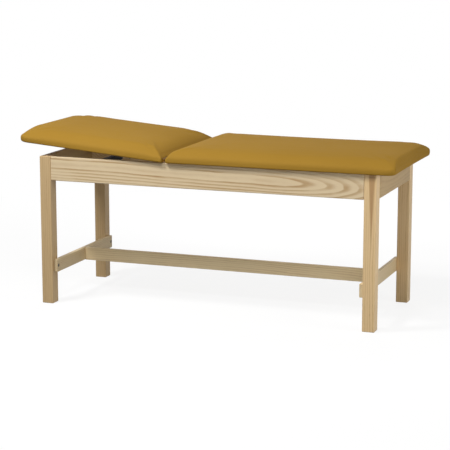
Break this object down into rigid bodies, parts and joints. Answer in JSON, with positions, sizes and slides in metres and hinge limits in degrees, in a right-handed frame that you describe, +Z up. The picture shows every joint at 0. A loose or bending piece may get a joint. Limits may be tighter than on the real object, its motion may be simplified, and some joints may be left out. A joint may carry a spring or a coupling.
{
  "type": "examination table",
  "caption": "Free-standing wooden examination table with an H-brace, an upholstered two-section top and a backrest that tilts up on a bail and notched racks.",
  "frame": {"origin": "on the floor, under the middle of the top", "axes": "+X from the head end to the foot end, +Y from the front to the back, +Z up"},
  "size_m": [1.8261, 0.686, 0.841],
  "materials": {
    "hardwood": "satin",
    "plywood": "matte",
    "vinyl": "satin",
    "black_steel": "satin",
    "zinc_steel": "satin"
  },
  "bodies": {
    "frame": {"head_front_leg": "hardwood", "head_back_leg": "hardwood", "foot_front_leg": "hardwood", "foot_back_leg": "hardwood", "front_side_rail": "hardwood", "back_side_rail": "hardwood", "head_end_rail": "hardwood", "foot_end_rail": "hardwood", "hinge_cross_rail": "hardwood", "head_stretcher": "hardwood", "foot_stretcher": "hardwood", "centre_stretcher": "hardwood", "head_front_stretcher_bolt": "black_steel", "head_back_stretcher_bolt": "black_steel", "foot_front_stretcher_bolt": "black_steel", "foot_back_stretcher_bolt": "black_steel", "head_lower_dowel": "hardwood", "head_upper_dowel": "hardwood", "foot_lower_dowel": "hardwood", "foot_upper_dowel": "hardwood", "head_front_corner_brace": "hardwood", "head_back_corner_brace": "hardwood", "foot_front_corner_brace": "hardwood", "foot_back_corner_brace": "hardwood", "head_front_corner_bolt": "zinc_steel", "head_back_corner_bolt": "zinc_steel", "foot_front_corner_bolt": "zinc_steel", "foot_back_corner_bolt": "zinc_steel", "main_board": "plywood", "main_cushion": "vinyl", "main_hinge_leaf": "zinc_steel", "hinge_pin": "zinc_steel", "front_hinge_top_bracket": "zinc_steel", "front_foot_top_bracket": "zinc_steel", "back_hinge_top_bracket": "zinc_steel", "back_foot_top_bracket": "zinc_steel", "front_rack": "hardwood", "back_rack": "hardwood", "front_rack_outer_screw": "black_steel", "front_rack_inner_screw": "black_steel", "back_rack_outer_screw": "black_steel", "back_rack_inner_screw": "black_steel"},
    "backrest": {"head_board": "plywood", "head_cushion": "vinyl", "head_hinge_leaf": "zinc_steel", "front_bail_bracket": "black_steel", "back_bail_bracket": "black_steel", "front_bail_pin": "black_steel", "back_bail_pin": "black_steel"},
    "bail": {"front_bail_arm": "black_steel", "back_bail_arm": "black_steel", "bail_bar": "black_steel"}
  },
  "joints": [
    {"name": "backrest_tilt", "type": "hinge", "parent": "frame", "child": "backrest", "pos_m": [-0.1715, 0, 0.7323], "axis": [0, 1, 0], "range_deg": [-5, 65]},
    {"name": "bail_swing", "type": "hinge", "parent": "backrest", "child": "bail", "pos_m": [-0.41599, 0, 0.71655], "axis": [0, 1, 0], "range_deg": [-130, 10]}
  ],
  "couplings": [
    {"joint": "bail_swing", "follows": "backrest_tilt", "ratio": -2}
  ]
}
